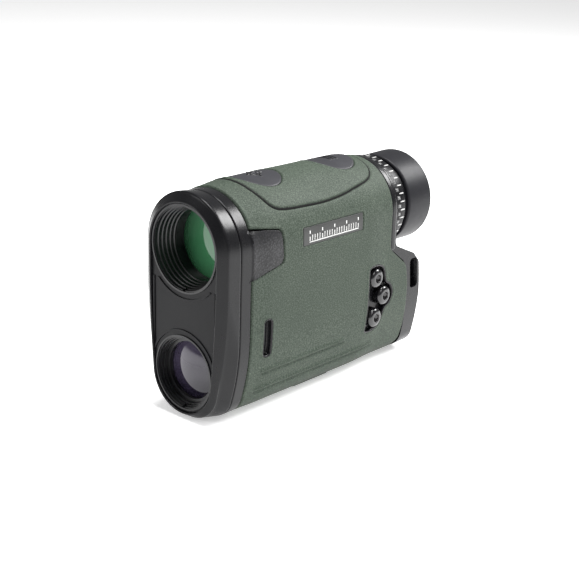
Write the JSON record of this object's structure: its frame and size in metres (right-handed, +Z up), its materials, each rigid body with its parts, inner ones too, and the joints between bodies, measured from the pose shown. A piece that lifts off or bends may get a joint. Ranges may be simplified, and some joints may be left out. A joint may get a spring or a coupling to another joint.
{
  "type": "laser rangefinder",
  "caption": "Hand-held laser rangefinder with a rubber-armoured body, an objective over a laser emitter, top buttons, a dioptre dial, a twist-up eyecup and a screw-in battery cap.",
  "frame": {"origin": "under the middle of the overall bounding box, on the surface that the rangefinder stands on", "axes": "+Z up, +Y from the objective end towards the eyepiece, +X towards the side with the belt-clip screws"},
  "size_m": [0.0392, 0.1142, 0.079],
  "materials": {
    "black_shell": "satin black moulding",
    "face_black": "fine matte black",
    "green_armour": "grained grey-green rubber",
    "button_rubber": "soft charcoal rubber",
    "badge_grey": "dark grey plate",
    "steel": "bright steel",
    "black_screw": "gloss black oxide",
    "brass": "turned brass",
    "switch_plastic": "black moulding",
    "circuit_board": "green solder mask",
    "black_metal": "black anodised",
    "green_glass": "green coated",
    "violet_glass": "violet coated",
    "clear_glass": "polished",
    "dial_black": "satin black",
    "eyecup_rubber": "smooth matte rubber",
    "inner_plastic": "black moulding",
    "ring_rubber": "black rubber",
    "battery_wrap": "printed sleeve over a metal can",
    "contact_metal": "plated spring contact",
    "cap_black": "satin black moulding"
  },
  "bodies": {
    "case": {"front_bezel": "black_shell", "face_plate": "face_black", "front_collar": "black_shell", "chassis_right": "black_shell", "chassis_left": "black_shell", "armour": "green_armour", "top_panel": "green_armour", "badge_right": "badge_grey", "badge_left": "badge_grey", "case_screw_1": "steel", "case_screw_2": "steel", "case_screw_3": "steel", "case_screw_4": "steel", "front_switch": "switch_plastic", "rear_switch": "switch_plastic", "button_board": "circuit_board", "objective_cell": "black_metal", "objective_baffle": "black_metal", "objective_crown": "green_glass", "objective_flint": "green_glass", "emitter_cell": "black_metal", "emitter_baffle": "black_metal", "emitter_lens": "violet_glass", "emitter_barrel": "black_metal", "laser_diode": "steel", "emitter_board": "circuit_board", "prism_holder": "inner_plastic", "front_prism": "clear_glass", "rear_prism": "clear_glass", "main_board": "circuit_board", "receiver": "steel", "processor": "switch_plastic", "eye_tube": "black_metal", "display": "clear_glass", "display_glass": "clear_glass", "rear_frame": "black_shell", "lanyard_pin_right": "steel", "lanyard_pin_left": "steel", "battery_holder": "inner_plastic", "battery": "battery_wrap", "battery_contact": "contact_metal", "clip_screw_1": "black_screw", "clip_screw_2": "black_screw", "clip_screw_3": "black_screw", "clip_insert_1": "brass", "clip_insert_2": "brass", "clip_insert_3": "brass", "tripod_socket": "brass"},
    "front_button": {"front_button": "button_rubber"},
    "rear_button": {"rear_button": "button_rubber"},
    "dioptre_dial": {"dioptre_dial": "dial_black"},
    "ocular": {"ocular_cell": "black_metal", "field_lens": "clear_glass", "eye_lens": "clear_glass"},
    "cup_slider": {"cup_ring": "ring_rubber"},
    "eyecup": {"eyecup": "eyecup_rubber", "cup_core": "dial_black"},
    "cap_slider": {"cap_seal": "ring_rubber"},
    "battery_cap": {"battery_cap": "cap_black"},
    "cap_tab": {"cap_tab": "cap_black"}
  },
  "joints": [
    {"name": "front_button_press", "type": "slide", "parent": "case", "child": "front_button", "axis": [0, 0, -1], "range_m": [0, 0.0007], "stiffness_N_per_m": 1500, "springref_m": -0.0004},
    {"name": "rear_button_press", "type": "slide", "parent": "case", "child": "rear_button", "axis": [0, 0, -1], "range_m": [0, 0.0007], "stiffness_N_per_m": 1500, "springref_m": -0.0004},
    {"name": "dioptre_turn", "type": "hinge", "parent": "case", "child": "dioptre_dial", "pos_m": [0, 0.03885, 0.059], "axis": [0, 1, 0], "range_deg": [-90, 90]},
    {"name": "ocular_focus", "type": "slide", "parent": "case", "child": "ocular", "axis": [0, 1, 0], "range_m": [-0.0012, 0.0012]},
    {"name": "eyecup_travel", "type": "slide", "parent": "case", "child": "cup_slider", "axis": [0, 1, 0], "range_m": [0, 0.004]},
    {"name": "eyecup_twist", "type": "hinge", "parent": "cup_slider", "child": "eyecup", "pos_m": [0, 0.04985, 0.059], "axis": [0, 1, 0], "range_deg": [0, 120]},
    {"name": "cap_travel", "type": "slide", "parent": "case", "child": "cap_slider", "axis": [0, 1, 0], "range_m": [0, 0.003]},
    {"name": "cap_unscrew", "type": "hinge", "parent": "cap_slider", "child": "battery_cap", "pos_m": [0, 0.05085, 0.022], "axis": [0, 1, 0], "range_deg": [0, 360]},
    {"name": "cap_tab_lift", "type": "hinge", "parent": "battery_cap", "child": "cap_tab", "pos_m": [0, 0.0516, 0.02185], "axis": [-1, 0, 0], "range_deg": [0, 90]}
  ],
  "couplings": [
    {"joint": "ocular_focus", "follows": "dioptre_turn", "m_per_rad": 0.00076394},
    {"joint": "eyecup_travel", "follows": "eyecup_twist", "m_per_rad": 0.0019099},
    {"joint": "cap_travel", "follows": "cap_unscrew", "m_per_rad": 0.00047746}
  ]
}
